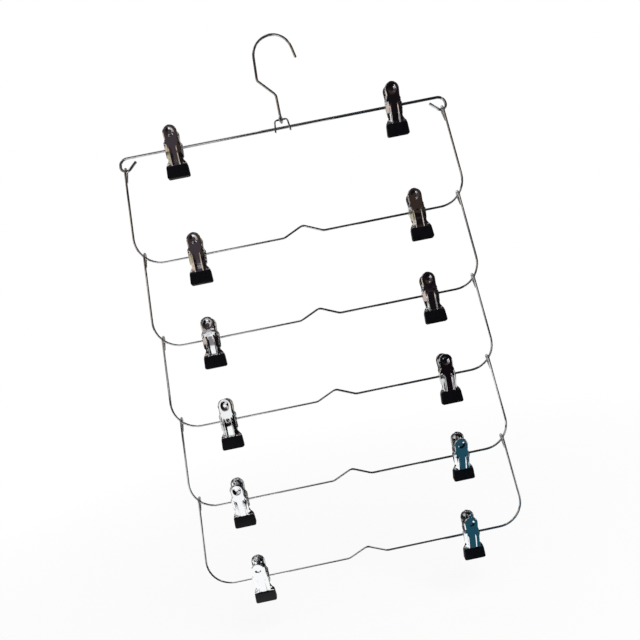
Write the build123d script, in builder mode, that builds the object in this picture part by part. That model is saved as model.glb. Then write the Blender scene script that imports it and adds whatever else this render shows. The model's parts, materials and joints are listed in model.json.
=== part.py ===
"""Six-row trouser hanger of chromed steel wire, with two spring clips on each row.

A hook carries a straight top bar by a small bail. Five U-shaped tier frames hang below, each by two
eyes at its upper ends, and every bar holds two clips that slide on it and open about it. Each clip
hangs at the angle to which it was last turned.
The origin is where a rail touches the hook, straight above the middle of the bars. +Z is up, X runs
along the bars and -Y is the front.
"""
from build123d import *
from math import acos, atan2, cos, degrees, hypot, pi, radians, sin, sqrt
import os

# Small rounds, such as a wire's section or a hole for it, are drawn with this many flats
round_sides = 8

# Wire diameters
hook_wire = 2.6
bar_wire = 2.8
bail_wire = 1.8
frame_wire = 2.2

# Clearance between wires that hang in one another, and a spare length for every cut
hang_gap = 0.35
overrun = 1.0

# Hook: heights are above the middle of the top bar's wire
crown_radius = 19.7
crown_height = 91.0
crown_offset = 5.25
mouth_angle = 12.0
mouth_length = 10.7
tip_chamfer = 0.5
elbow_offset = 15.7
elbow_height = 49.7
shank_height = 32.7
hook_bend_radius = 5.0
hook_eye_turn = 20.0
hook_eye_sweep = 280.0
hook_eye_entry = 60.0

# Bail: the small arch welded to the top bar
bail_height = 8.2
bail_top_half = 6.4
bail_foot_half = 7.7
bail_foot_length = 4.4
bail_bend_radius = 2.6
weld_depth = 0.25

# Top bar: its ends curl down in a wide bend, turn under in a tight one and come back as short open hooks
curl_top_radius = 7.8
curl_low_radius = 4.95
curl_inset = 0.9
curl_return_angle = 41.0
curl_return_length = 10.7

# Tier frames: the eye height runs from the bar to the top of the eyes, all on the wire's middle line
frame_half_width = 169.6
frame_height = 98.4
corner_radius = 26.2
hang_slope = 47.0
eye_closing_angle = 28.0
eye_tail_length = 9.6
seat_allowance = 0.15
bump_half = 20.4
bump_height = 9.1
bump_foot_radius = 9.0
bump_peak_radius = 7.0
tier_count = 5

# Clips: heights are from the middle of the bar that the clip sits on
sheet = 0.8
grip_top = 22.7
grip_half = 7.2
grip_neck_height = 8.5
grip_neck_half = 6.9
ear_top = 5.0
ear_bottom = 8.0
ear_radius = 3.3
outer_ear = 8.6
ear_nest = 0.2
waist_height = 10.5
waist_half = 7.1
jaw_top = 16.9
jaw_half = 10.4
jaw_bottom = 28.7
grip_spread = 8.2
belly_height = 5.0
belly_spread = 4.7
belly_bend_radius = 9.0
jaw_bend_radius = 4.0
bar_clearance = 0.25
dish_height = 15.6
dish_radius = 4.2
dish_depth = 0.35
rib_spread = 3.95
rib_width = 2.2
rib_rise = 0.7
rib_top = 2.6
rib_bottom = 16.3
boot_half = 11.45
boot_top_half = 10.7
boot_top = 17.3
boot_bottom = 29.9
boot_wall = 1.15
boot_corner = 1.3
jaw_gap = 0.2

# Spring of a clip: two equal half coils round the bar, each with its own leg
coil_wire = 0.9
coil_bore = 1.8
coil_half_length = 6.0
coil_gap = 0.1
leg_height = 10.0
leg_lift = 0.1

# Where the clips sit, as shares of the frames' half width, row by row from the top
left_clip_shares = (-0.653, -0.651, -0.676, -0.678, -0.713, -0.687)
right_clip_shares = (0.673, 0.696, 0.683, 0.693, 0.687, 0.659)

# How far each clip is turned about its bar, as shares of one angle: grips to the front, jaws to the back
clip_turn_angle = 14.0
left_turn_shares = (-0.60, -0.99, -0.76, -0.61, 0.59, 0.89)
right_turn_shares = (0.12, -0.97, -0.91, -0.40, 0.86, 0.50)

# Sizes that follow from these
half_turn = 180.0
crown_middle = crown_height - crown_radius
seat_reach = sqrt((crown_radius - hook_wire / 2) ** 2 - crown_offset**2)
bar_z = -(crown_middle + seat_reach)
corner_middle = frame_half_width - corner_radius
eye_x = corner_middle + corner_radius * sin(radians(hang_slope))
eye_radius = (frame_wire + hang_gap + seat_allowance) / cos(radians(hang_slope))
eye_z = frame_height - eye_radius
curl_x = eye_x - curl_inset
hang_depth = sqrt(curl_low_radius**2 - curl_inset**2)
eye_top_reach = curl_low_radius - bar_wire / 2 - frame_wire / 2 - hang_gap
eye_top_depth = sqrt(eye_top_reach**2 - curl_inset**2)
jaw_face = jaw_gap / 2 + boot_wall + sheet / 2
frame_tilt = degrees(atan2(eye_radius, eye_z))


def tangent_angle(centre, point, radius):
    """The angle, in degrees, where a straight run from a point first touches a circle, going clockwise."""
    across, up = point[0] - centre[0], point[1] - centre[1]
    return degrees(atan2(up, across) - acos(radius / hypot(across, up)))


def around(centre, radius, angle):
    """The point of a circle at an angle in degrees."""
    return centre[0] + radius * cos(radians(angle)), centre[1] + radius * sin(radians(angle))


def along(start, angle, length):
    """The point reached from a start by a straight run at an angle in degrees."""
    return around(start, length, angle)


def grip_at(height):
    """How far the middle of the grip's sheet stands from the bar's upright plane at a height."""
    return grip_spread - (grip_spread - belly_spread) * (grip_top - height) / (grip_top + belly_height)


def draw_round(radius, mode=Mode.ADD):
    """A small round of a sketch, with flats that leave its area what the circle's is."""
    share = 2 * pi / (round_sides * sin(2 * pi / round_sides))
    return RegularPolygon(radius * sqrt(share), round_sides, rotation=half_turn / round_sides, mode=mode)


def draw_wire(path, diameter, level=(0, 1, 0)):
    """A wire along a path, with one of its flats square to the level direction."""
    with BuildPart() as wire:
        with BuildSketch(Plane(origin=path @ 0, x_dir=level, z_dir=path % 0)):
            draw_round(diameter / 2)
        sweep(path=path)
    return wire.part


def draw_hook():
    """One bent wire: open crown, elbow, shank and a small eye that closes round the bail."""
    crown = (crown_offset, bar_z + crown_middle)
    elbow = (-elbow_offset, bar_z + elbow_height)
    bail_top = bar_z + bail_height
    eye = (hook_wire / 2 + bail_wire / 2 + hang_gap) / cos(radians(hook_eye_turn))
    foot = bail_top + 2 * eye * sin(radians(hook_eye_entry))
    leaving = tangent_angle(crown, elbow, crown_radius)
    mouth = around(crown, crown_radius, mouth_angle)
    tip = along(mouth, mouth_angle - half_turn / 2, mouth_length)
    turn = radians(hook_eye_turn)
    with BuildLine(Plane.XZ) as run:
        Line(tip, mouth)
        CenterArc(crown, crown_radius, mouth_angle, (leaving - mouth_angle) % (2 * half_turn))
        FilletPolyline(
            around(crown, crown_radius, leaving),
            elbow,
            (0, bar_z + shank_height),
            (0, foot),
            radius=hook_bend_radius,
        )
    eye_plane = Plane(
        origin=(0, 0, bail_top), x_dir=(sin(turn), cos(turn), 0), z_dir=(cos(turn), -sin(turn), 0)
    )
    with BuildLine(eye_plane) as ring:
        CenterArc((eye, foot - bail_top), eye, half_turn, hook_eye_entry)
        CenterArc((0, 0), eye, hook_eye_entry, -hook_eye_sweep)
    with BuildPart() as hook:
        add(draw_wire(run.wire(), hook_wire))
        end = hook.faces().sort_by_distance(Vector(tip[0], 0, tip[1]))[0]
        chamfer(end.edges(), tip_chamfer)
        add(draw_wire(ring.wire(), hook_wire))
    return hook.part


def draw_bail():
    """The arch that the hook's eye hangs on, with its legs let into the front of the top bar."""
    forward = bar_wire / 2 + bail_wire / 2 - weld_depth
    lean = atan2(forward, bail_height)
    rise = hypot(forward, bail_height)
    plane = Plane(origin=(0, -forward, bar_z), x_dir=(1, 0, 0), z_dir=(0, -cos(lean), sin(lean)))
    with BuildLine(plane) as arch:
        FilletPolyline(
            (-bail_foot_half, -bail_foot_length),
            (-bail_top_half, rise),
            (bail_top_half, rise),
            (bail_foot_half, -bail_foot_length),
            radius=bail_bend_radius,
        )
    with BuildPart() as bail:
        add(draw_wire(arch.wire(), bail_wire, plane.z_dir))
        with BuildSketch(Plane.YZ.offset(-bail_foot_half - bail_wire)):
            with Locations((0, bar_z)):
                draw_round(bar_wire / 2)
        extrude(amount=2 * (bail_foot_half + bail_wire), mode=Mode.SUBTRACT)
    return bail.part


def draw_top_bar():
    """Straight wire whose two ends curl under and return inwards as open hooks."""
    low = bar_z - curl_top_radius
    bend_x = curl_x + curl_low_radius - curl_top_radius
    turn = half_turn / 2 + curl_return_angle
    right_end = around((curl_x, low), curl_low_radius, -turn)
    left_end = around((-curl_x, low), curl_low_radius, half_turn + turn)
    right_tip = along(right_end, half_turn - curl_return_angle, curl_return_length)
    left_tip = along(left_end, curl_return_angle, curl_return_length)
    with BuildLine(Plane.XZ) as run:
        Line(left_tip, left_end)
        CenterArc((-curl_x, low), curl_low_radius, half_turn + turn, -turn)
        CenterArc((-bend_x, low), curl_top_radius, half_turn, -half_turn / 2)
        Line((-bend_x, bar_z), (bend_x, bar_z))
        CenterArc((bend_x, low), curl_top_radius, half_turn / 2, -half_turn / 2)
        CenterArc((curl_x, low), curl_low_radius, 0, -turn)
        Line(right_end, right_tip)
    return draw_wire(run.wire(), bar_wire)


def draw_tier_frame():
    """A U-shaped frame in its own upright plane, with its bar through the origin.

    Both upper ends turn over to the back as an eye, whose tail comes down and closes on the side wire.
    """
    right, left = (corner_middle, corner_radius), (-corner_middle, corner_radius)
    flare = tangent_angle(right, (eye_x, eye_z), corner_radius)
    closing = half_turn + eye_closing_angle
    tail_start = around((eye_radius, 0), eye_radius, -eye_closing_angle)
    tail_end = along(tail_start, -half_turn / 2 - eye_closing_angle, eye_tail_length)
    with BuildLine(Plane.XZ) as run:
        Line((-eye_x, eye_z), around(left, corner_radius, half_turn - flare))
        CenterArc(left, corner_radius, half_turn - flare, half_turn / 2 + flare)
        FilletPolyline(
            (-corner_middle, 0),
            (-bump_half, 0),
            (0, bump_height),
            (bump_half, 0),
            (corner_middle, 0),
            radius=(bump_foot_radius, bump_peak_radius, bump_foot_radius),
        )
        CenterArc(right, corner_radius, -half_turn / 2, half_turn / 2 + flare)
        Line(around(right, corner_radius, flare), (eye_x, eye_z))
    eyes = []
    for side in (-1, 1):
        across = (cos(radians(flare)), 0, side * sin(radians(flare)))
        with BuildLine(Plane(origin=(side * eye_x, 0, eye_z), x_dir=(0, 1, 0), z_dir=across)) as eye:
            CenterArc((eye_radius, 0), eye_radius, half_turn, -closing)
            Line(tail_start, tail_end)
        eyes.append(draw_wire(eye.wire(), frame_wire))
    with BuildPart() as frame:
        add(draw_wire(run.wire(), frame_wire))
        add(eyes)
    return frame.part


def draw_rib():
    """A raised rib down the front of a plate, from the bar to the boot, on the plane x = 0."""
    rib_face = sheet / 2 + rib_rise
    with BuildPart() as rib:
        with BuildSketch(Plane.YZ.offset(-rib_width / 2)):
            with BuildLine():
                Polyline(
                    (-grip_at(rib_top), rib_top),
                    (-grip_at(0) - rib_face, 0),
                    (-belly_spread - rib_face, -belly_height),
                    (-jaw_face - rib_face, -rib_bottom),
                    (-jaw_face, -rib_bottom),
                    (-belly_spread, -belly_height),
                    close=True,
                )
            make_face()
        extrude(amount=rib_width)
    return rib.part


def draw_ear():
    """A side ear with the hole for the bar, one sheet thick from the plane x = 0."""
    share = (ear_bottom - belly_height) / (jaw_top - belly_height)
    foot_spread = belly_spread + (jaw_face - belly_spread) * share
    with BuildPart() as ear:
        with BuildSketch(Plane.YZ):
            draw_round(ear_radius)
            with BuildLine():
                Polyline(
                    (-grip_at(ear_top), ear_top),
                    (-belly_spread, -belly_height),
                    (-foot_spread, -ear_bottom),
                )
            make_hull()
            draw_round(bar_wire / 2 + bar_clearance, Mode.SUBTRACT)
        extrude(amount=sheet)
    return ear.part


def draw_jaw_plate():
    """Front half of a clip: one stamping, bent along its length, with two ears folded back.

    The left ear lies outside and the right one inside, so that two equal plates nest face to face.
    """
    left, right = -outer_ear, outer_ear - sheet - ear_nest
    beyond = grip_top + overrun
    slope = atan2(grip_spread - belly_spread, grip_top + belly_height)
    dish_middle = (0, -grip_at(dish_height), dish_height)
    dish_face = Plane(origin=dish_middle, x_dir=(1, 0, 0), z_dir=(0, -cos(slope), -sin(slope)))
    ear, rib = draw_ear(), draw_rib()
    with BuildPart() as plate:
        with BuildLine(Plane.YZ) as bend:
            FilletPolyline(
                (-grip_at(beyond), beyond),
                (-belly_spread, -belly_height),
                (-jaw_face, -jaw_top),
                (-jaw_face, -jaw_bottom),
                radius=(belly_bend_radius, jaw_bend_radius),
            )
        with BuildSketch(Plane(origin=bend.wire() @ 0, x_dir=(1, 0, 0), z_dir=bend.wire() % 0)):
            Rectangle(2 * jaw_half, sheet)
        sweep(path=bend.wire())
        with BuildSketch(Plane.XZ):
            with BuildLine():
                CenterArc((0, grip_top - grip_half), grip_half, 0, half_turn)
                Polyline(
                    (-grip_half, grip_top - grip_half),
                    (-grip_neck_half, grip_neck_height),
                    (left, ear_top),
                    (left, -ear_bottom),
                    (-waist_half, -waist_height),
                    (-jaw_half, -jaw_top),
                    (-jaw_half, -jaw_bottom),
                    (jaw_half, -jaw_bottom),
                    (jaw_half, -jaw_top),
                    (waist_half, -waist_height),
                    (right, -ear_bottom),
                    (right, ear_top),
                    (grip_neck_half, grip_neck_height),
                    (grip_half, grip_top - grip_half),
                )
            make_face()
        extrude(amount=grip_spread + sheet + overrun, mode=Mode.INTERSECT)
        with Locations((left, 0, 0), (right - sheet, 0, 0)):
            add(ear)
        with Locations((-rib_spread, 0, 0), (rib_spread, 0, 0)):
            add(rib)
        with BuildSketch(dish_face.offset(sheet / 2 - dish_depth)):
            draw_round(dish_radius)
        extrude(amount=dish_depth + overrun, mode=Mode.SUBTRACT)
    return plate.part


def draw_boot(plate):
    """Vinyl sleeve dipped over the jaw end of a plate."""
    thickness = 2 * boot_wall + sheet
    with BuildPart() as boot:
        with BuildSketch(Plane.XZ.offset(jaw_gap / 2)) as face:
            with BuildLine():
                Polyline(
                    (-boot_top_half, -boot_top),
                    (-boot_half, -boot_bottom),
                    (boot_half, -boot_bottom),
                    (boot_top_half, -boot_top),
                    close=True,
                )
            make_face()
            chamfer(face.vertices().sort_by(Axis.Z)[:2], boot_corner)
        extrude(amount=thickness)
        add(plate, mode=Mode.SUBTRACT)
    return boot.part


def draw_half_spring():
    """Half of the closing spring: its coil round the bar and the leg that pushes the grip out."""
    outer = coil_bore + coil_wire
    plate_face = grip_at(leg_height) - sheet / 2
    leg_end = (-plate_face + coil_wire / 2 + leg_lift, leg_height)
    leg_start = (-outer + coil_wire / 2, 0)
    with BuildPart() as spring:
        with BuildSketch(Plane.YZ.offset(coil_gap / 2)):
            draw_round(outer)
            draw_round(coil_bore, Mode.SUBTRACT)
        extrude(amount=coil_half_length)
        with BuildLine(Plane.YZ.offset(coil_half_length - coil_wire)) as leg:
            Line(leg_start, leg_end)
        with BuildSketch(Plane(origin=leg.wire() @ 0, x_dir=(1, 0, 0), z_dir=leg.wire() % 0)):
            Rectangle(coil_wire, coil_wire)
        sweep(path=leg.wire())
    return spring.part


def place(pieces, where, label):
    """Puts finished pieces at a place, labels them as one part and writes them out."""
    with BuildPart() as placed:
        with Locations(where):
            add(pieces)
    placed.part.label = label
    export_step(placed.part, f"parts/{label}.step")
    return placed.part


def hang(seat, at):
    """Where a frame stands when its own point seat hangs at a place of the row above."""
    return Location(at) * Location((0, 0, 0), (frame_tilt, 0, 0)) * Location(-seat)


os.makedirs("parts", exist_ok=True)

here = Location((0, 0, 0))
place(draw_hook(), here, "hook")
place(draw_bail(), here, "bail")
place(draw_top_bar(), here, "row1_top_bar")

tier_frame = draw_tier_frame()
first_seat = Vector(0, eye_radius, frame_height - hang_depth + eye_top_depth)
next_seat = Vector(0, eye_radius, eye_z)
crossing = Location((0, 0, corner_radius - corner_radius * cos(radians(hang_slope))))
rows = [Location((0, 0, bar_z))]
pivot = Vector(0, 0, bar_z - curl_top_radius - hang_depth)
for tier in range(tier_count):
    stand = hang(next_seat if tier else first_seat, pivot)
    place(tier_frame, stand, f"row{tier + 2}_frame")
    bar_place = [round(v, 3) for v in stand.position]
    print(f"row{tier + 2} hangs at", [round(v, 3) for v in pivot], "bar at", bar_place)
    rows.append(stand)
    pivot = (stand * crossing).position

front_plate = draw_jaw_plate()
front_boot = draw_boot(front_plate)
front_spring = draw_half_spring()
for row, stand in enumerate(rows):
    left_clip = ("left", left_clip_shares[row], left_turn_shares[row])
    right_clip = ("right", right_clip_shares[row], right_turn_shares[row])
    for side, share, turn_share in (left_clip, right_clip):
        middle = stand.position + Vector(share * frame_half_width, 0, 0)
        lean = turn_share * clip_turn_angle
        for half, turn in (("front", 0), ("rear", half_turn)):
            where = Location(middle, (lean, 0, 0)) * Location((0, 0, 0), (0, 0, turn))
            name = f"row{row + 1}_{side}_{half}"
            place([front_plate, front_spring], where, f"{name}_plate")
            place(front_boot, where, f"{name}_boot")
        print(f"row{row + 1} {side} clip at", [round(v, 3) for v in middle], "leans", round(lean, 2))
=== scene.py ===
import json
import math

import bmesh
import bpy
from mathutils import Matrix, Vector


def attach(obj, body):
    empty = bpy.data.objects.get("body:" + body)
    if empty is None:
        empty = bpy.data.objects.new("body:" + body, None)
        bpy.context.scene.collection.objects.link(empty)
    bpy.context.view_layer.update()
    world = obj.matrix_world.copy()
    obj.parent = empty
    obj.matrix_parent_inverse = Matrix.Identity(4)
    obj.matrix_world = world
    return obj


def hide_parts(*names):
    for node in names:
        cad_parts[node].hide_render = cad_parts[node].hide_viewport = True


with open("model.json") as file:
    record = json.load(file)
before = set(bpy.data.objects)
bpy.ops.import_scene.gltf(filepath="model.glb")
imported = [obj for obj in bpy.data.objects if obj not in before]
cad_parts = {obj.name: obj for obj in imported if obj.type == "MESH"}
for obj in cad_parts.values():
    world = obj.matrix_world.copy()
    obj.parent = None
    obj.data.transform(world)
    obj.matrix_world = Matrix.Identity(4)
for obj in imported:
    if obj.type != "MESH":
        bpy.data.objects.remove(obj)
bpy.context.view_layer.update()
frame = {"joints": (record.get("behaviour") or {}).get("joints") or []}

# HOOK
# One length of hard drawn steel wire, bent cold and then chrome plated. Its open crown hangs on the
# rail, its shank drops from an elbow to the middle, and its lower end closes round the bail as an eye.

mm = 0.001
joint_places = {joint["name"]: Vector(joint.get("pos_m", (0, 0, 0))) for joint in frame["joints"]}
to_front = Vector((0, -1, 0))
to_right = Vector((1, 0, 0))
hang_gap = 0.35 * mm
bar_height = joint_places["row1_left_open"].z
bail_top = joint_places["hook_swing"]
hook_thickness = 2.6 * mm
bail_thickness = 1.8 * mm
crown_radius = 19.7 * mm
crown_middle = Vector((5.25 * mm, 0, bar_height + 71.3 * mm))
mouth_turn = math.radians(12)
mouth_length = 10.7 * mm
elbow = Vector((-15.7 * mm, 0, bar_height + 49.7 * mm))
shank_top = Vector((0, 0, bar_height + 32.7 * mm))
hook_bend = 5 * mm
hook_eye_turn = math.radians(20)
hook_eye_entry = math.radians(60)
hook_eye_sweep = math.radians(280)
bend_facet = math.radians(9)


def linear(hex_colour):
    """A colour written as sRGB hex, as the linear values that a shader takes."""
    parts = [int(hex_colour[i:i + 2], 16) / 255 for i in (1, 3, 5)]
    return [p / 12.92 if p <= 0.04045 else ((p + 0.055) / 1.055) ** 2.4 for p in parts] + [1]


def add_node(tree_owner, kind, settings=(), inputs=()):
    """Adds one node, with its own choices and its socket values or the sockets that feed them."""
    node = tree_owner.node_tree.nodes.new(kind)
    for name, value in dict(settings).items():
        setattr(node, name, value)
    for name, value in dict(inputs).items():
        if isinstance(value, bpy.types.NodeSocket):
            tree_owner.node_tree.links.new(value, node.inputs[name])
        else:
            node.inputs[name].default_value = value
    return node


def bright_chrome(name, ripple_length, ripple_depth):
    """Bright chrome plate: a mirror that hazes a little in places and waves with the steel under it."""
    material = bpy.data.materials.new(name)
    material.use_nodes = True
    shader = material.node_tree.nodes["Principled BSDF"]
    shader.inputs["Base Color"].default_value = linear("#cfd0d1")
    shader.inputs["Metallic"].default_value = 1
    place = add_node(material, "ShaderNodeTexCoord").outputs["Object"]
    cloud = add_node(
        material, "ShaderNodeTexNoise", inputs={"Vector": place, "Scale": 1 / (9 * mm), "Detail": 3}
    ).outputs["Fac"]
    ripple = add_node(
        material, "ShaderNodeTexNoise", inputs={"Vector": place, "Scale": 1 / ripple_length, "Detail": 1}
    ).outputs["Fac"]
    haze = add_node(
        material, "ShaderNodeMapRange",
        inputs={"Value": cloud, "From Min": 0.35, "From Max": 0.7, "To Min": 0.04, "To Max": 0.12},
    ).outputs["Result"]
    relief = add_node(
        material, "ShaderNodeBump", inputs={"Height": ripple, "Strength": 1, "Distance": ripple_depth}
    ).outputs["Normal"]
    material.node_tree.links.new(haze, shader.inputs["Roughness"])
    material.node_tree.links.new(relief, shader.inputs["Normal"])
    return material


def finish_piece(name, mesh, material, body, nodes):
    """Makes a finished mesh one piece that rides on a body and stands for CAD nodes."""
    data = bpy.data.meshes.new(name)
    mesh.to_mesh(data)
    mesh.free()
    piece = bpy.data.objects.new(name, data)
    bpy.context.collection.objects.link(piece)
    data.materials.append(material)
    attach(piece, body)
    for node in nodes:
        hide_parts(node)
    return piece


class BentWire:
    """A round wire that is fed out straight or bent, from its first end to its last."""

    def __init__(self, thickness, start, heading, sides=20):
        self.mesh = bmesh.new()
        self.thickness = thickness
        self.at = Vector(start)
        self.heading = Vector(heading).normalized()
        place = Matrix.Translation(self.at) @ self.heading.to_track_quat("Z", "X").to_matrix().to_4x4()
        self.rim = bmesh.ops.create_circle(
            self.mesh, segments=sides, radius=thickness / 2, matrix=place
        )["verts"]

    def rim_edges(self):
        rim = set(self.rim)
        touching = {e for v in self.rim for e in v.link_edges}
        return [e for e in touching if e.verts[0] in rim and e.verts[1] in rim]

    def straight(self, length):
        fed = bmesh.ops.extrude_edge_only(self.mesh, edges=self.rim_edges())["geom"]
        self.rim = [g for g in fed if isinstance(g, bmesh.types.BMVert)]
        bmesh.ops.translate(self.mesh, vec=self.heading * length, verts=self.rim)
        self.at = self.at + self.heading * length

    def straight_to(self, point):
        self.heading = (point - self.at).normalized()
        self.straight((point - self.at).length)

    def bend(self, radius, angle, about, climb=0.0):
        centre = self.at + about.cross(self.heading) * radius
        steps = max(2, math.ceil(angle / bend_facet))
        fed = bmesh.ops.spin(
            self.mesh, geom=self.rim + self.rim_edges(), cent=centre, axis=about,
            angle=angle, steps=steps, dvec=about * climb / steps,
            use_merge=False, use_normal_flip=False, use_duplicate=False,
        )["geom_last"]
        self.rim = [g for g in fed if isinstance(g, bmesh.types.BMVert)]
        turn = Matrix.Rotation(angle, 3, about)
        self.at = centre + turn @ (self.at - centre) + about * climb
        self.heading = turn @ self.heading

    def corner(self, point, following, radius):
        leaving = (following - point).normalized()
        arriving = (point - self.at).normalized()
        angle = arriving.angle(leaving)
        self.heading = arriving
        self.straight((point - self.at).length - radius * math.tan(angle / 2))
        self.bend(radius, angle, arriving.cross(leaving).normalized())

    def cut_off(self):
        """Closes both ends, takes the burr off them and turns every face outwards."""
        ends = bmesh.ops.holes_fill(self.mesh, edges=self.mesh.edges[:], sides=0)["faces"]
        for face in self.mesh.faces:
            face.smooth = True
        rims = [e for face in ends for e in face.edges]
        bmesh.ops.bevel(
            self.mesh, geom=rims, offset=self.thickness / 6, segments=3,
            profile=0.5, affect="EDGES", material=-1,
        )
        bmesh.ops.recalc_face_normals(self.mesh, faces=self.mesh.faces[:])
        return self.mesh


wire_chrome = bright_chrome("chrome plated drawn wire", 3 * mm, 0.008 * mm)
mouth = crown_middle + crown_radius * Vector((math.cos(mouth_turn), 0, math.sin(mouth_turn)))
hook_tip = mouth + mouth_length * Vector((math.sin(mouth_turn), 0, -math.cos(mouth_turn)))
elbow_reach = elbow - crown_middle
leaving_turn = math.atan2(elbow_reach.z, elbow_reach.x) - math.acos(crown_radius / elbow_reach.length)
hook_eye = (hook_thickness / 2 + bail_thickness / 2 + hang_gap) / math.cos(hook_eye_turn)
hook_eye_across = Vector((math.cos(hook_eye_turn), -math.sin(hook_eye_turn), 0))
hook = BentWire(hook_thickness, hook_tip, mouth - hook_tip)
hook.straight(mouth_length)
hook.bend(crown_radius, (leaving_turn - mouth_turn) % math.tau, to_front)
hook.corner(elbow, shank_top, hook_bend)
hook.corner(shank_top, bail_top, hook_bend)
hook.straight_to(bail_top + Vector((0, 0, 2 * hook_eye * math.sin(hook_eye_entry))))
hook.bend(hook_eye, hook_eye_entry, hook_eye_across)
hook.bend(hook_eye, hook_eye_sweep, -hook_eye_across)
finish_piece("hook_wire", hook.cut_off(), wire_chrome, "hook", ["hook"])

# BAIL
# A short arch of thinner wire that the hook's eye swings on. Its legs lean forward and are spot welded
# to the front of the top bar.

bar_thickness = 2.8 * mm
weld_depth = 0.25 * mm
bail_top_half = 6.4 * mm
bail_foot_half = 7.7 * mm
bail_foot_length = 4.4 * mm
bail_bend = 2.6 * mm

bail_leg = Vector((0, weld_depth - (bar_thickness + bail_thickness) / 2, bar_height - bail_top.z))
bail_foot = bail_top + bail_leg * (1 + bail_foot_length / bail_leg.length)
bail_points = [
    bail_foot - to_right * bail_foot_half,
    bail_top - to_right * bail_top_half,
    bail_top + to_right * bail_top_half,
    bail_foot + to_right * bail_foot_half,
]
bail = BentWire(bail_thickness, bail_points[0], bail_points[1] - bail_points[0])
bail.corner(bail_points[1], bail_points[2], bail_bend)
bail.corner(bail_points[2], bail_points[3], bail_bend)
bail.straight_to(bail_points[3])
finish_piece("bail_wire", bail.cut_off(), wire_chrome, "top_bar", ["bail"])

# TOP BAR
# The straight bar of the first pair of clips, in the thickest wire. Both ends curl under and come back
# as short open hooks, which the next frame's eyes hang in.

corner_radius = 26.2 * mm
corner_middle = 169.6 * mm - corner_radius
hang_slope = math.radians(47)
eye_place = corner_middle + corner_radius * math.sin(hang_slope)
curl_top_radius = 7.8 * mm
curl_low_radius = 4.95 * mm
curl_inset = 0.9 * mm
return_rise = math.radians(41)
return_length = 10.7 * mm

curl_place = eye_place - curl_inset
curl_middle = Vector((-curl_place, 0, bar_height - curl_top_radius))
return_heading = Vector((math.cos(return_rise), 0, math.sin(return_rise)))
curl_end = curl_middle + curl_low_radius * return_heading.cross(to_front)
top_bar = BentWire(bar_thickness, curl_end + return_heading * return_length, -return_heading)
top_bar.straight(return_length)
top_bar.bend(curl_low_radius, math.pi / 2 + return_rise, -to_front)
top_bar.bend(curl_top_radius, math.pi / 2, -to_front)
top_bar.straight(2 * (curl_place + curl_low_radius - curl_top_radius))
top_bar.bend(curl_top_radius, math.pi / 2, -to_front)
top_bar.bend(curl_low_radius, math.pi / 2 + return_rise, -to_front)
top_bar.straight(return_length)
finish_piece("row1_bar_wire", top_bar.cut_off(), wire_chrome, "top_bar", ["row1_top_bar"])

# TIER FRAMES
# Five equal frames, each one wire bent to a U: a bar with a small bump that keeps the clips apart,
# rounded corners, side wires that lean inwards, and an eye at each end with its tail closed behind it.

frame_thickness = 2.2 * mm
frame_height = 98.4 * mm
seat_allowance = 0.15 * mm
frame_eye = (frame_thickness + hang_gap + seat_allowance) / math.cos(hang_slope)
frame_eye_height = frame_height - frame_eye
frame_tilt = math.atan2(frame_eye, frame_eye_height)
eye_closing = math.radians(28)
tail_length = 9.6 * mm
bump_foot = Vector((-20.4 * mm, 0, 0))
bump_peak = Vector((0, 0, 9.1 * mm))
bump_foot_bend = 9 * mm
bump_peak_bend = 7 * mm
side_reach = Vector((corner_radius * math.sin(hang_slope), 0, frame_eye_height - corner_radius))
side_length = math.sqrt(side_reach.length_squared - corner_radius**2)
flare = math.atan2(side_reach.z, side_reach.x) - math.acos(corner_radius / side_reach.length)
hang_depth = math.sqrt(curl_low_radius**2 - curl_inset**2)
eye_top_reach = curl_low_radius - (bar_thickness + frame_thickness) / 2 - hang_gap
first_seat = frame_height - hang_depth + math.sqrt(eye_top_reach**2 - curl_inset**2)


def bend_tier_frame():
    """Bends one frame, with its bar through the origin and its eyes turned to the back."""
    left_across = Vector((math.cos(flare), 0, -math.sin(flare)))
    right_across = Vector((math.cos(flare), 0, math.sin(flare)))
    up_the_side = Vector((math.sin(flare), 0, math.cos(flare)))
    left_top = Vector((-eye_place, 0, frame_eye_height))
    tail_heading = up_the_side * math.cos(eye_closing) - to_front * math.sin(eye_closing)
    eye_end = left_top - to_front * frame_eye * (1 + math.cos(eye_closing))
    eye_end -= up_the_side * frame_eye * math.sin(eye_closing)
    wire = BentWire(frame_thickness, eye_end - tail_heading * tail_length, tail_heading)
    wire.straight(tail_length)
    wire.bend(frame_eye, math.pi + eye_closing, left_across)
    wire.straight(side_length)
    wire.bend(corner_radius, math.pi / 2 + flare, to_front)
    wire.corner(bump_foot, bump_peak, bump_foot_bend)
    wire.corner(bump_peak, -bump_foot, bump_peak_bend)
    wire.corner(-bump_foot, to_right * corner_middle, bump_foot_bend)
    wire.straight_to(to_right * corner_middle)
    wire.bend(corner_radius, math.pi / 2 + flare, to_front)
    wire.straight(side_length)
    wire.bend(frame_eye, math.pi + eye_closing, -right_across)
    wire.straight(tail_length)
    return wire.cut_off()


for row in range(2, 7):
    wire = bend_tier_frame()
    seat = Vector((0, frame_eye, first_seat if row == 2 else frame_eye_height))
    stand = Matrix.Translation(joint_places[f"row{row}_swing"]) @ Matrix.Rotation(frame_tilt, 4, "X")
    bmesh.ops.transform(wire, matrix=stand @ Matrix.Translation(-seat), verts=wire.verts)
    tier = f"row{row}_frame"
    finish_piece(f"row{row}_wire", wire, wire_chrome, tier, [tier])

# CLIP PLATES AND SPRINGS
# Every clip is two equal chrome plated stampings that face each other across the bar, each with a dished
# grip, two pressed ribs and two ears folded round the bar. A close wound spring sits on the bar between
# the ears, and its legs push the grips apart.

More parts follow.
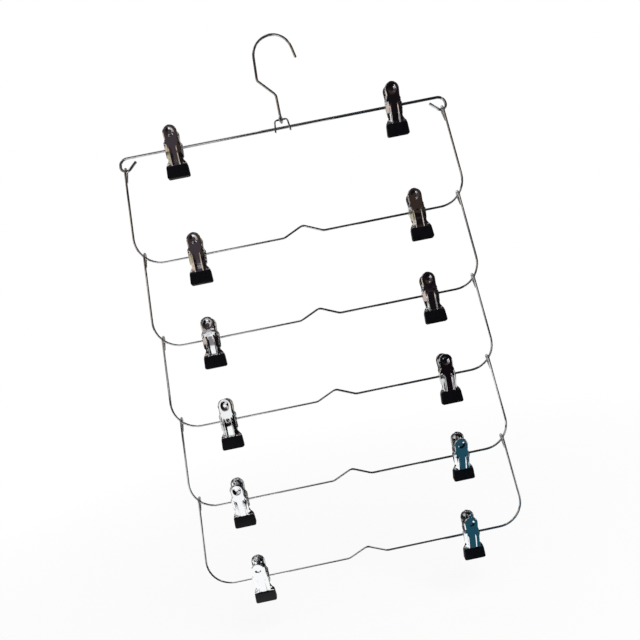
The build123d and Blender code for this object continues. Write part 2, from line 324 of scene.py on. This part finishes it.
sheet = 0.8 * mm
grip_top = 22.7 * mm
grip_half = 7.2 * mm
neck_height = 8.5 * mm
neck_half = 6.9 * mm
ear_top = 5 * mm
ear_bottom = -8 * mm
ear_radius = 3.3 * mm
outer_ear = 8.6 * mm
inner_ear = 7.6 * mm
ear_fold = 1 * mm
ear_upper_corner = 3.1 * mm
ear_lower_corner = -2.4 * mm
ear_root = 0.3 * mm
ear_upper_reach = 1.4 * mm
ear_lower_reach = 2.6 * mm
flat_half = 5.1 * mm
side_bend = 1.6 * mm
side_slope = math.radians(31)
side_slope_run = 3 * mm
side_softness = 0.5 * mm
waist_height = -10.5 * mm
waist_half = 7.1 * mm
jaw_top = -16.9 * mm
jaw_bottom = -28.7 * mm
jaw_half = 10.4 * mm
grip_spread = 8.2 * mm
belly_spread = 4.7 * mm
belly_height = -5 * mm
jaw_spread = 1.65 * mm
jaw_gap = 0.2 * mm
bend_softness = 0.6 * mm
rib_spread = 3.95 * mm
rib_half = 1.05 * mm
rib_rise = 0.65 * mm
rib_top = 2.6 * mm
rib_top_run = 4 * mm
rib_bottom = -16.3 * mm
rib_bottom_run = 1 * mm
channel_half = 2.7 * mm
channel_depth = 0.16 * mm
dish_height = 15.4 * mm
dish_half = 4.6 * mm
dish_stretch = 1.15
dish_floor = 0.35
dish_depth = 0.9 * mm
rim_roll = 0.6 * mm
rim_width = 1.5 * mm
bar_clearance = 0.25 * mm
bar_hole = bar_thickness / 2 + bar_clearance
edge_break = 0.14 * mm
sharp_edge = math.radians(50)
merge_distance = 0.01 * mm
face_columns = 64
fold_columns = 4
ear_columns = 8
straight_rows = 60
round_rows = 16
clip_turn = math.radians(14)
left_turn_shares = (-0.60, -0.99, -0.76, -0.61, 0.59, 0.89)
right_turn_shares = (0.12, -0.97, -0.91, -0.40, 0.86, 0.50)


def eased(value, low, high):
    """How far a value has come from low to high, from 0 to 1, with a soft start and end."""
    share = min(1, max(0, (value - low) / (high - low)))
    return share * share * (3 - 2 * share)


def rounded_least(a, b, softness):
    """The lesser of two lengths, with the crease where they cross rounded."""
    share = max(0, softness - abs(a - b)) / softness
    return min(a, b) - share * share * softness / 4


def bend_line(height):
    """How far the outside of the sheet stands in front of the bar at a height."""
    grip_share = (height - belly_height) / (grip_top - belly_height)
    grip = belly_spread + (grip_spread - belly_spread) * grip_share
    belly_share = (height - jaw_top) / (belly_height - jaw_top)
    belly = jaw_spread + (belly_spread - jaw_spread) * belly_share
    upper = rounded_least(grip, belly, bend_softness)
    return sheet / 2 - rounded_least(-upper, -jaw_spread, bend_softness)


def blank_half(height, ear):
    """Half the width of the blank at a height, from the jaw over waist, ear and neck to the top."""
    top_middle = grip_top - grip_half
    if height > top_middle:
        return math.sqrt(max(0, grip_half**2 - (height - top_middle) ** 2))
    if height > neck_height:
        return neck_half + (grip_half - neck_half) * eased(height, neck_height, top_middle)
    if height > ear_top:
        return ear + (neck_half - ear) * eased(height, ear_top, neck_height)
    if height > ear_bottom:
        return ear
    if height > waist_height:
        return waist_half + (ear - waist_half) * eased(height, waist_height, ear_bottom)
    return jaw_half + (waist_half - jaw_half) * eased(height, jaw_top, waist_height)


def ear_reach(height, start):
    """Where the ear ends behind the bar at a height: round, then straight to where it starts."""
    middle = max(-ear_radius, min(ear_radius, height))
    back = math.sqrt(ear_radius**2 - middle**2) if abs(height) < ear_radius else ear_radius
    above = (ear_top - height) / (ear_top - ear_upper_corner)
    below = (height - ear_bottom) / (ear_lower_corner - ear_bottom)
    root = start + ear_root
    upper_slope = root + (ear_upper_reach - root) * above
    lower_slope = root + (ear_lower_reach - root) * below
    return min(back, upper_slope, lower_slope)


def pressed_out(x, height, edge):
    """How far the press moves the sheet forward at a place of the face, at a distance from its edge."""
    rib = max(0, 1 - ((abs(x) - rib_spread) / rib_half) ** 2) ** 1.5
    rib_length = eased(height, rib_top, rib_top - rib_top_run)
    rib_length *= eased(height, rib_bottom - rib_bottom_run, rib_bottom)
    dish = math.hypot(x / dish_half, (height - dish_height) / (dish_stretch * dish_half))
    hollow = dish_depth * eased(dish, 1, dish_floor)
    roll = rim_roll * eased(edge, rim_width, 0) ** 2 if height > ear_top else 0
    channel = channel_depth * max(0, 1 - (x / channel_half) ** 2)
    return (rib_rise * rib - channel) * rib_length - hollow - roll


def across_plate(height, half, share, fold_share):
    """Where the sheet runs at one height, from its middle to its edge or fold: x and set-back."""
    slope = side_slope * eased(height, ear_top, ear_top - side_slope_run)
    slope *= eased(height, jaw_top, jaw_top + side_slope_run)
    fold = ear_fold if ear_bottom <= height <= ear_top else 0
    x = share * (half - fold * (1 - math.sin(slope)))
    bent = min(x - flat_half, side_bend * math.sin(slope))
    set_back = side_bend - math.sqrt(side_bend**2 - bent**2) if bent > 0 else 0
    set_back += max(0, x - flat_half - side_bend * math.sin(slope)) * math.tan(slope)
    set_back = max(0, rounded_least(set_back, bend_line(height) - sheet - jaw_gap, side_softness))
    folded = slope + (math.pi / 2 - slope) * fold_share
    x += fold * (math.sin(folded) - math.sin(slope))
    return x, set_back + fold * (math.cos(slope) - math.cos(folded))


def press_plate():
    """Presses the front plate of a clip from a flat grid, with the bar's middle at the origin."""
    top_middle = grip_top - grip_half
    heights = [
        jaw_bottom + (top_middle - jaw_bottom) * row / straight_rows for row in range(straight_rows + 1)
    ]
    for row in range(1, round_rows + 1):
        heights.append(top_middle + grip_half * math.sin(math.pi / 2 * row / round_rows))
    side_columns = face_columns // 2 + fold_columns + ear_columns
    blank = bmesh.new()
    bmesh.ops.create_grid(blank, x_segments=2 * side_columns, y_segments=len(heights) - 1, size=1)
    spare = []
    for vert in blank.verts:
        column = round(vert.co.x * side_columns)
        height = heights[round((vert.co.y + 1) / 2 * (len(heights) - 1))]
        side = -1 if column < 0 else 1
        beyond = max(0, abs(column) - face_columns // 2)
        half = blank_half(height, outer_ear if side < 0 else inner_ear)
        share = min(1, abs(column) / (face_columns / 2))
        if half > flat_half:
            x, set_back = across_plate(height, half, share, min(1, beyond / fold_columns))
        else:
            x, set_back = share * half, 0
        y = set_back - bend_line(height) - pressed_out(x, height, half - x)
        if beyond > fold_columns:
            y += (ear_reach(height, y) - y) * (beyond - fold_columns) / ear_columns
        if beyond and not ear_bottom <= height <= ear_top:
            spare.append(vert)
        vert.co = Vector((side * x, y, height))
    bmesh.ops.delete(blank, geom=spare, context="VERTS")
    bmesh.ops.remove_doubles(blank, verts=blank.verts[:], dist=merge_distance)
    bmesh.ops.recalc_face_normals(blank, faces=blank.faces[:])
    front = max(blank.faces, key=lambda face: -face.calc_center_median().y)
    if front.normal.y > 0:
        bmesh.ops.reverse_faces(blank, faces=blank.faces[:])
    bmesh.ops.solidify(blank, geom=blank.faces[:], thickness=sheet)
    for face in blank.faces:
        face.smooth = True
    return blank


def pierce_plate(blank):
    """Pierces both ears for the bar and breaks the sheet's sharp edges."""
    data = bpy.data.meshes.new("clip plate")
    blank.to_mesh(data)
    blank.free()
    plate = bpy.data.objects.new("clip plate", data)
    punch_mesh = bmesh.new()
    across = Matrix.Rotation(math.pi / 2, 4, "Y")
    bmesh.ops.create_cone(
        punch_mesh, cap_ends=True, segments=40, radius1=bar_hole, radius2=bar_hole,
        depth=4 * outer_ear, matrix=across,
    )
    punch_data = bpy.data.meshes.new("punch")
    punch_mesh.to_mesh(punch_data)
    punch_mesh.free()
    punch = bpy.data.objects.new("punch", punch_data)
    bpy.context.collection.objects.link(plate)
    bpy.context.collection.objects.link(punch)
    pierce = plate.modifiers.new("pierce", "BOOLEAN")
    pierce.object = punch
    pierce.operation = "DIFFERENCE"
    deburr = plate.modifiers.new("deburr", "BEVEL")
    deburr.width = edge_break
    deburr.segments = 2
    deburr.limit_method = "ANGLE"
    deburr.angle_limit = sharp_edge
    pressed = bpy.data.meshes.new_from_object(plate.evaluated_get(bpy.context.evaluated_depsgraph_get()))
    bpy.data.objects.remove(plate)
    bpy.data.objects.remove(punch)
    return pressed


spring_wire = 0.86 * mm
coil_radius = 2.25 * mm
coil_turns = 5
coil_step = 0.92 * mm
leg_top = Vector((5.1 * mm, -5.62 * mm, 10 * mm))


def wind_half_spring():
    """Winds half of the spring: the leg comes down inside the grip and turns into the close turns."""
    reach = Vector((0, leg_top.y, leg_top.z))
    turn = math.atan2(reach.z, reach.y) + math.acos(coil_radius / reach.length)
    start = Vector((leg_top.x, coil_radius * math.cos(turn), coil_radius * math.sin(turn)))
    spring = BentWire(spring_wire, leg_top, start - leg_top, sides=10)
    spring.straight_to(start)
    spring.bend(coil_radius, math.tau * coil_turns, to_right, climb=-coil_step * coil_turns)
    coil = bpy.data.meshes.new("half spring")
    spring.cut_off().to_mesh(coil)
    return coil


sheet_chrome = bright_chrome("chrome plated pressed steel", 4 * mm, 0.035 * mm)
plate_shape = pierce_plate(press_plate())
spring_shape = wind_half_spring()
halves = [("front", "jaw", 0), ("rear", "clip", math.pi)]
clip_stands = {}
for row in range(1, 7):
    for side, shares in (("left", left_turn_shares), ("right", right_turn_shares)):
        for half, body, turn in halves:
            lean = Matrix.Rotation(shares[row - 1] * clip_turn, 4, "X") @ Matrix.Rotation(turn, 4, "Z")
            stand = Matrix.Translation(joint_places[f"row{row}_{side}_open"]) @ lean
            clip_stands[f"row{row}_{side}_{half}"] = (f"row{row}_{side}_{body}", stand)
for name, (body, stand) in clip_stands.items():
    pair = bmesh.new()
    pair.from_mesh(plate_shape)
    pair.from_mesh(spring_shape)
    bmesh.ops.transform(pair, matrix=stand, verts=pair.verts)
    finish_piece(f"{name}_stamping", pair, sheet_chrome, body, [f"{name}_plate"])

# BOOTS
# The jaw ends are dipped in liquid vinyl, which sets to a black sleeve with soft rounded edges. It keeps
# the cloth from slipping and from being marked.

boot_half = 11.45 * mm
boot_top_half = 10.7 * mm
boot_top = -17.3 * mm
boot_bottom = -29.9 * mm
boot_depth = 3.1 * mm
low_corner = 2.2 * mm
high_corner = 1.2 * mm
boot_edge = 0.8 * mm


def black_vinyl():
    """Dipped vinyl: black with a faint blue, satin, and slightly uneven where it ran before it set."""
    material = bpy.data.materials.new("dipped black vinyl")
    material.use_nodes = True
    shader = material.node_tree.nodes["Principled BSDF"]
    shader.inputs["IOR"].default_value = 1.5
    shader.inputs["Specular IOR Level"].default_value = 0.12
    place = add_node(material, "ShaderNodeTexCoord").outputs["Object"]
    runs = add_node(
        material, "ShaderNodeTexNoise", inputs={"Vector": place, "Scale": 1 / (4 * mm), "Detail": 2}
    ).outputs["Fac"]
    skin = add_node(
        material, "ShaderNodeTexNoise", inputs={"Vector": place, "Scale": 1 / (0.6 * mm), "Detail": 2}
    ).outputs["Fac"]
    tone = add_node(
        material, "ShaderNodeMix", {"data_type": "RGBA"},
        {"Factor": runs, "A": linear("#050408"), "B": linear("#0c0b10")},
    ).outputs["Result"]
    gloss = add_node(
        material, "ShaderNodeMapRange", inputs={"Value": runs, "To Min": 0.34, "To Max": 0.5}
    ).outputs["Result"]
    wave = add_node(
        material, "ShaderNodeBump", inputs={"Height": runs, "Strength": 1, "Distance": 0.12 * mm}
    ).outputs["Normal"]
    relief = add_node(
        material, "ShaderNodeBump",
        inputs={"Height": skin, "Strength": 1, "Distance": 0.01 * mm, "Normal": wave},
    ).outputs["Normal"]
    for socket, name in ((tone, "Base Color"), (gloss, "Roughness"), (relief, "Normal")):
        material.node_tree.links.new(socket, shader.inputs[name])
    return material


def edges_across(mesh, low, high):
    """The edges of a slab that run from its front to its back, with both ends between two heights."""
    return [
        edge for edge in mesh.edges
        if abs(edge.verts[0].co.y - edge.verts[1].co.y) > boot_depth / 2
        and all(low < vert.co.z < high for vert in edge.verts)
    ]


def dip_boot():
    """The sleeve of a front plate: a slab, narrower at its top, with its corners and edges rounded."""
    boot = bmesh.new()
    bmesh.ops.create_cube(boot, size=1)
    size = Vector((2 * boot_half, boot_depth, boot_top - boot_bottom))
    middle = Vector((0, -(jaw_gap + boot_depth) / 2, (boot_top + boot_bottom) / 2))
    bmesh.ops.scale(boot, vec=size, verts=boot.verts)
    bmesh.ops.translate(boot, vec=middle, verts=boot.verts)
    shoulders = [vert for vert in boot.verts if vert.co.z > middle.z]
    bmesh.ops.scale(boot, vec=Vector((boot_top_half / boot_half, 1, 1)), verts=shoulders)
    for low, high, radius in ((-1, middle.z, low_corner), (middle.z, 1, high_corner)):
        bmesh.ops.bevel(
            boot, geom=edges_across(boot, low, high), offset=radius, segments=6,
            profile=0.5, affect="EDGES", material=-1,
        )
    rims = [edge for edge in boot.edges if abs(edge.verts[0].co.y - edge.verts[1].co.y) < jaw_gap / 2]
    bmesh.ops.bevel(
        boot, geom=rims, offset=boot_edge, segments=4, profile=0.5, affect="EDGES", material=-1
    )
    bmesh.ops.recalc_face_normals(boot, faces=boot.faces[:])
    for face in boot.faces:
        face.smooth = True
    return boot


vinyl = black_vinyl()
for name, (body, stand) in clip_stands.items():
    boot = dip_boot()
    bmesh.ops.transform(boot, matrix=stand, verts=boot.verts)
    finish_piece(f"{name}_sleeve", boot, vinyl, body, [f"{name}_boot"])

# FLOOR AND SURROUND
# A matt white studio floor under the hanging piece and a white surround, which the camera and the chrome
# see as plain white. Under the piece the floor still takes its soft shadow.

floor_height = -0.62
floor_half = 6
studio_white = "#ffffff"


def seen_as_white(owner):
    """1 on the rays that show the background: from the camera, in a mirror or through glass."""
    path = add_node(owner, "ShaderNodeLightPath")
    seen = path.outputs["Is Camera Ray"]
    for other in ("Is Glossy Ray", "Is Transmission Ray"):
        seen = add_node(
            owner, "ShaderNodeMath", {"operation": "MAXIMUM"}, {0: seen, 1: path.outputs[other]}
        ).outputs["Value"]
    return seen


def floor_paint():
    """Matt white paint on a studio floor, self-coloured away from the piece and shaded near it."""
    material = bpy.data.materials.new("matt white floor paint")
    material.use_nodes = True
    shader = material.node_tree.nodes["Principled BSDF"]
    shader.inputs["Base Color"].default_value = linear(studio_white)
    shader.inputs["Roughness"].default_value = 0.9
    shader.inputs["Specular IOR Level"].default_value = 0
    place = add_node(material, "ShaderNodeTexCoord").outputs["Object"]
    away = add_node(
        material, "ShaderNodeVectorMath", {"operation": "DISTANCE"}, {0: place, 1: (0, 0, floor_height)}
    ).outputs["Value"]
    far = add_node(
        material, "ShaderNodeMapRange",
        inputs={"Value": away, "From Min": 0.2, "From Max": 0.9, "To Min": 0.75, "To Max": 1},
    ).outputs["Result"]
    share = add_node(
        material, "ShaderNodeMath", {"operation": "MULTIPLY"}, {0: seen_as_white(material), 1: far}
    ).outputs["Value"]
    glow = add_node(
        material, "ShaderNodeEmission", inputs={"Color": linear(studio_white), "Strength": 1}
    ).outputs["Emission"]
    mix = add_node(
        material, "ShaderNodeMixShader", inputs={0: share, 1: shader.outputs["BSDF"], 2: glow}
    )
    surface = material.node_tree.nodes["Material Output"].inputs["Surface"]
    material.node_tree.links.new(mix.outputs["Shader"], surface)
    return material


def stand_sheet(name, matrix, size, material):
    """A flat sheet of the studio, which isn't part of the hanger."""
    mesh = bmesh.new()
    bmesh.ops.create_grid(mesh, x_segments=1, y_segments=1, size=0.5)
    bmesh.ops.scale(mesh, vec=Vector((size[0], size[1], 1)), verts=mesh.verts)
    bmesh.ops.transform(mesh, matrix=matrix, verts=mesh.verts)
    data = bpy.data.meshes.new(name)
    mesh.to_mesh(data)
    mesh.free()
    data.materials.append(material)
    sheet_object = bpy.data.objects.new(name, data)
    bpy.context.collection.objects.link(sheet_object)
    return sheet_object


floor_size = (2 * floor_half, 2 * floor_half)
stand_sheet("studio_floor", Matrix.Translation((0, 0, floor_height)), floor_size, floor_paint())
world = bpy.data.worlds.new("white surround")
bpy.context.scene.world = world
world.use_nodes = True
surround = world.node_tree.nodes["Background"]
surround.inputs["Color"].default_value = linear(studio_white)
strength = add_node(
    world, "ShaderNodeMapRange", inputs={"Value": seen_as_white(world), "To Min": 0.6, "To Max": 1}
).outputs["Result"]
world.node_tree.links.new(strength, surround.inputs["Strength"])

# LIGHT AND CARDS
# A large soft lamp above the camera, hidden from the chrome. What the chrome shows is painted
# reflection: a ring of glowing panels with warm patches on the left, sheets on the floor and two
# ceilings, which light nothing and nothing else sees.

piece_middle = Vector((0, 0, -0.3))
card_distance = 1.5
ceiling_height = 1.2
mat_lift = 1 * mm


def studio_direction(azimuth, elevation):
    """The direction at an azimuth from the front, positive to the right, and an elevation."""
    turn, rise = math.radians(azimuth), math.radians(elevation)
    return Vector((math.sin(turn) * math.cos(rise), -math.cos(turn) * math.cos(rise), math.sin(rise)))


def place_lamp(name, azimuth, elevation, distance, size, power, hex_colour):
    """A soft rectangular lamp in a direction from the piece, turned towards it."""
    lamp = bpy.data.lights.new(name, "AREA")
    lamp.shape = "RECTANGLE"
    lamp.size, lamp.size_y = size
    lamp.energy = power
    lamp.color = linear(hex_colour)[:3]
    light = bpy.data.objects.new(name, lamp)
    bpy.context.collection.objects.link(light)
    direction = studio_direction(azimuth, elevation)
    light.location = piece_middle + direction * distance
    light.rotation_euler = (-direction).to_track_quat("-Z", "Y").to_euler()
    return light


def reflection_glow_paint(name, hex_colour, strength):
    """A glowing colour that lights nothing and that only mirrors see: a painted reflection in the
    chrome.
    """
    material = bpy.data.materials.new(name)
    material.use_nodes = True
    material.node_tree.nodes.remove(material.node_tree.nodes["Principled BSDF"])
    glow = add_node(
        material, "ShaderNodeEmission", inputs={"Color": linear(hex_colour), "Strength": strength}
    )
    surface = material.node_tree.nodes["Material Output"].inputs["Surface"]
    material.node_tree.links.new(glow.outputs["Emission"], surface)
    return material


def place_card(name, matrix, size, hex_colour, strength):
    """A glowing sheet that nothing but a mirror sees, which paints its colour into the chrome as a
    reflection.
    """
    card = stand_sheet(name, matrix, size, reflection_glow_paint(name, hex_colour, strength))
    for kind in ("camera", "diffuse", "transmission", "shadow", "volume_scatter"):
        setattr(card, f"visible_{kind}", False)


lamp_azimuth = 20
lamp_elevation = 40
lamp_distance = 1.9
lamp_size = (1.4, 1.0)
lamp_power = 20
key_lamp = place_lamp(
    "soft_lamp_above", lamp_azimuth, lamp_elevation, lamp_distance, lamp_size, lamp_power, studio_white
)
key_lamp.visible_glossy = False
warm_black = "#1c1816"
plum_black = "#151014"
back_black = "#1c1a1b"
plain_card = 1
bright_panel_glow = 1.4
bright_mat_glow = 1.5
# Upright glowing panels that only mirrors see, painted reflections in the chrome: name, azimuth and
# spread in degrees, bottom and top in metres, colour and strength.
panels = [
    ("front_panel_low", 35, 80, floor_height, -0.15, "#1b171a", plain_card),
    ("front_panel_brown_stripe", 35, 80, -0.15, -0.1, "#43373a", plain_card),
    ("front_panel_middle", 35, 80, -0.1, 0.1, "#19141a", plain_card),
    ("front_panel_high", 35, 80, 0.1, 1.4, "#413530", plain_card),
    ("right_panel", 105, 60, floor_height, ceiling_height, warm_black, plain_card),
    ("upper_left_panel", -22, 34, -0.2, 1.4, "#4d444a", plain_card),
    ("left_panel_stripe", -20, 30, -0.26, -0.2, studio_white, bright_panel_glow),
    ("left_panel_grey", -20, 30, -0.52, -0.26, "#9d9a9e", plain_card),
    ("left_panel_foot", -20, 30, floor_height, -0.52, studio_white, bright_panel_glow),
    ("top_panel_left", -64, 44, 0.42, 0.9, warm_black, plain_card),
    # The cream, peach and rose panels paint warm window-like reflections into the chrome and light
    # nothing.
    ("high_painted_reflection", -64, 44, 0.18, 0.42, "#ecd6bc", plain_card),
    ("dark_between_reflections", -64, 44, 0.1, 0.18, warm_black, plain_card),
    ("cream_painted_reflection", -64, 44, -0.12, 0.1, "#e6d8b6", 0.9),
    ("peach_painted_reflection", -64, 44, -0.22, -0.12, "#ffe1cf", plain_card),
    ("rose_painted_reflection", -64, 44, -0.4, -0.22, "#f2ddd1", 0.95),
    ("dark_below_reflections", -64, 44, floor_height, -0.4, warm_black, plain_card),
    ("left_panel", -111, 50, floor_height, ceiling_height, "#211c1a", plain_card),
    ("back_stripe", 172, 20, floor_height, ceiling_height, back_black, plain_card),
]
for name, azimuth, spread, low, high, hex_colour, strength in panels:
    direction = studio_direction(azimuth, 0)
    facing = direction.to_track_quat("Z", "Y").to_matrix().to_4x4()
    middle = direction * card_distance + Vector((0, 0, (low + high) / 2))
    width = 2 * card_distance * math.tan(math.radians(spread / 2))
    place_card(name, Matrix.Translation(middle) @ facing, (width, high - low), hex_colour, strength)
# Level glowing sheets that only mirrors see, painted reflections in the chrome: name, left and right
# side, front and back side in metres, colour and strength.
mats = [
    ("front_dark_mat", -0.1, 1.3, -2.1, -0.25, plum_black, plain_card),
    ("near_dark_mat", -0.1, 0.095, -0.25, -0.07, plum_black, plain_card),
    ("left_dark_mat", -0.23, -0.1, -0.45, -0.17, plum_black, plain_card),
    ("outer_dark_mat", -0.5, -0.19, -0.17, -0.08, plum_black, plain_card),
    ("far_dark_mat", -1.2, -0.1, -1.2, -0.72, plum_black, plain_card),
    ("far_left_dark_mat", -1.2, -0.5, -0.72, -0.36, plum_black, plain_card),
    ("back_dark_mat", -0.2, 0.06, 0.11, 0.8, back_black, plain_card),
    ("back_right_dark_mat", 0.1, 1.0, 0.04, 1.5, back_black, plain_card),
    # The blue sheet paints a teal reflection into the lower right clips; the bright sheets paint white
    # reflections.
    ("blue_painted_reflection", 0.095, 0.33, -0.25, 0.03, "#285b6e", plain_card),
    ("far_bright_mat", -0.8, -0.1, -1.7, -1.2, studio_white, bright_mat_glow),
    ("front_bright_mat", -0.5, -0.1, -0.72, -0.45, studio_white, bright_mat_glow),
    ("near_bright_mat", -0.19, -0.1, -0.17, 0.1, studio_white, bright_mat_glow),
    ("middle_bright_mat", -0.1, 0.095, -0.07, 0.03, studio_white, bright_mat_glow),
    ("side_bright_mat", -0.8, -0.19, -0.08, 0.1, studio_white, bright_mat_glow),
    ("right_ceiling", -0.05, 1.15, -1.2, 2.2, "#1e1b1c", plain_card),
    ("left_ceiling", -1.2, -0.06, -1.2, -0.4, "#2e2826", plain_card),
]
for name, left, right, front, back, hex_colour, strength in mats:
    height = ceiling_height if name.endswith("ceiling") else floor_height + mat_lift
    middle = Matrix.Translation(((left + right) / 2, (front + back) / 2, height))
    place_card(name, middle, (right - left, back - front), hex_colour, strength)

# CAMERA
# Close in front and rolled by eleven degrees, so that the bars rise to the right as in the photograph.
# Its place and focal length come from matching the photographed bars, eyes and hook.

focal_length_mm = 35.576
film_width_mm = 36
camera_place = Vector((-15.11 * mm, -650 * mm, bar_height - 141.85 * mm))
camera_pitch = math.radians(85.007)
camera_roll = math.radians(11.385)
camera_yaw = math.radians(-2.205)

lens = bpy.data.cameras.new("camera")
lens.lens = focal_length_mm
lens.sensor_width = film_width_mm
lens.clip_start = 10 * mm
camera = bpy.data.objects.new("camera", lens)
bpy.context.collection.objects.link(camera)
camera.location = camera_place
camera.rotation_euler = (camera_pitch, camera_roll, camera_yaw)
bpy.context.scene.camera = camera
bpy.context.scene.view_settings.view_transform = "Standard"
